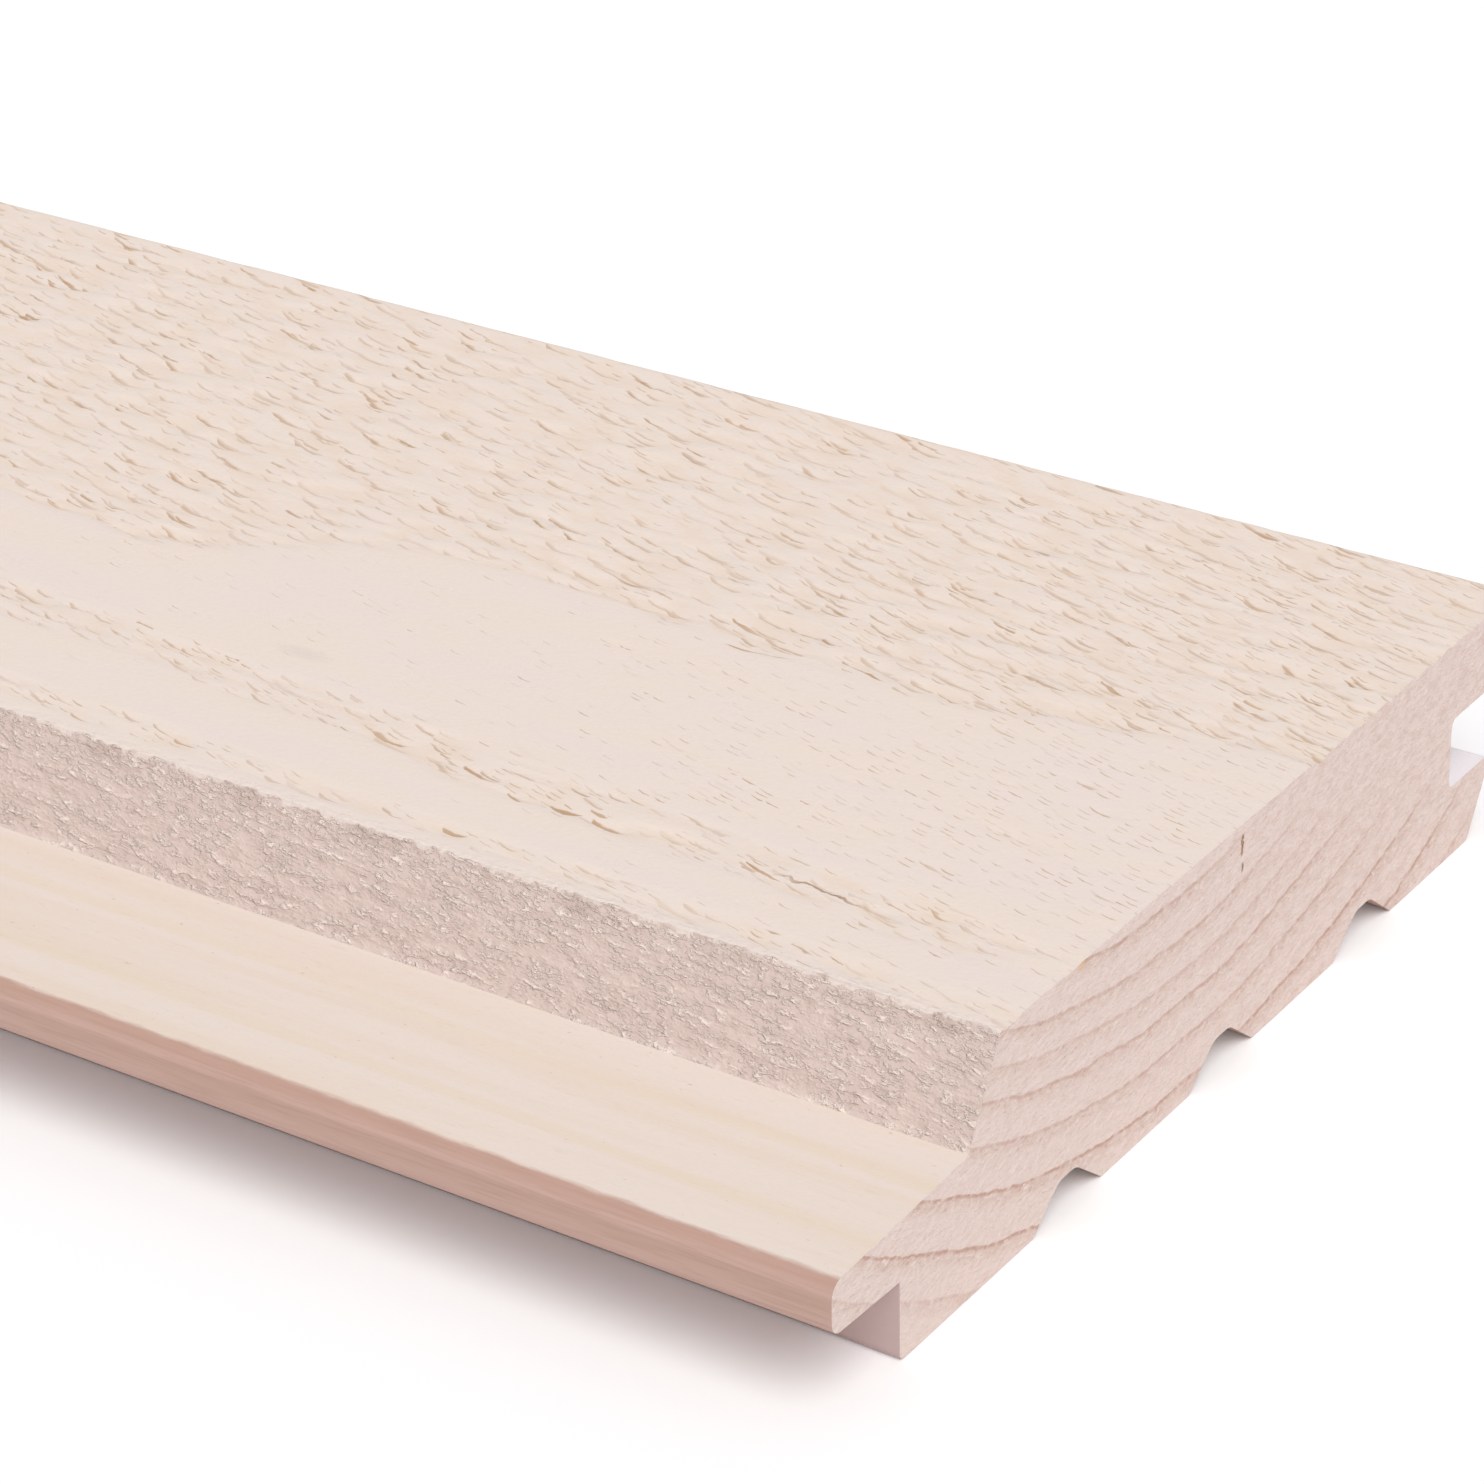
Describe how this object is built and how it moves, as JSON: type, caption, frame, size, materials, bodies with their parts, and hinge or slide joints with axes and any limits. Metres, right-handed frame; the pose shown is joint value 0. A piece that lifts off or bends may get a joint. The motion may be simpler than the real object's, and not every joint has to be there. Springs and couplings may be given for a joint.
{
  "type": "exterior cladding board",
  "caption": "Softwood cladding board with a tongue and sloping channel shelf on one long edge, a groove on the other, a primed sawn face and relief grooves in the back.",
  "frame": {"origin": "middle of the board's length and width, on the floor that its back lies on", "axes": "+X along the board, -Y towards the tongue, +Y towards the groove, +Z out of the weather face"},
  "size_m": [1.8, 0.145, 0.028],
  "materials": {
    "primed_softwood": "matt cream primer over a sawn softwood face, bare planed softwood on the ends and back"
  },
  "bodies": {
    "root": {"cladding_board": "primed_softwood"}
  },
  "joints": []
}
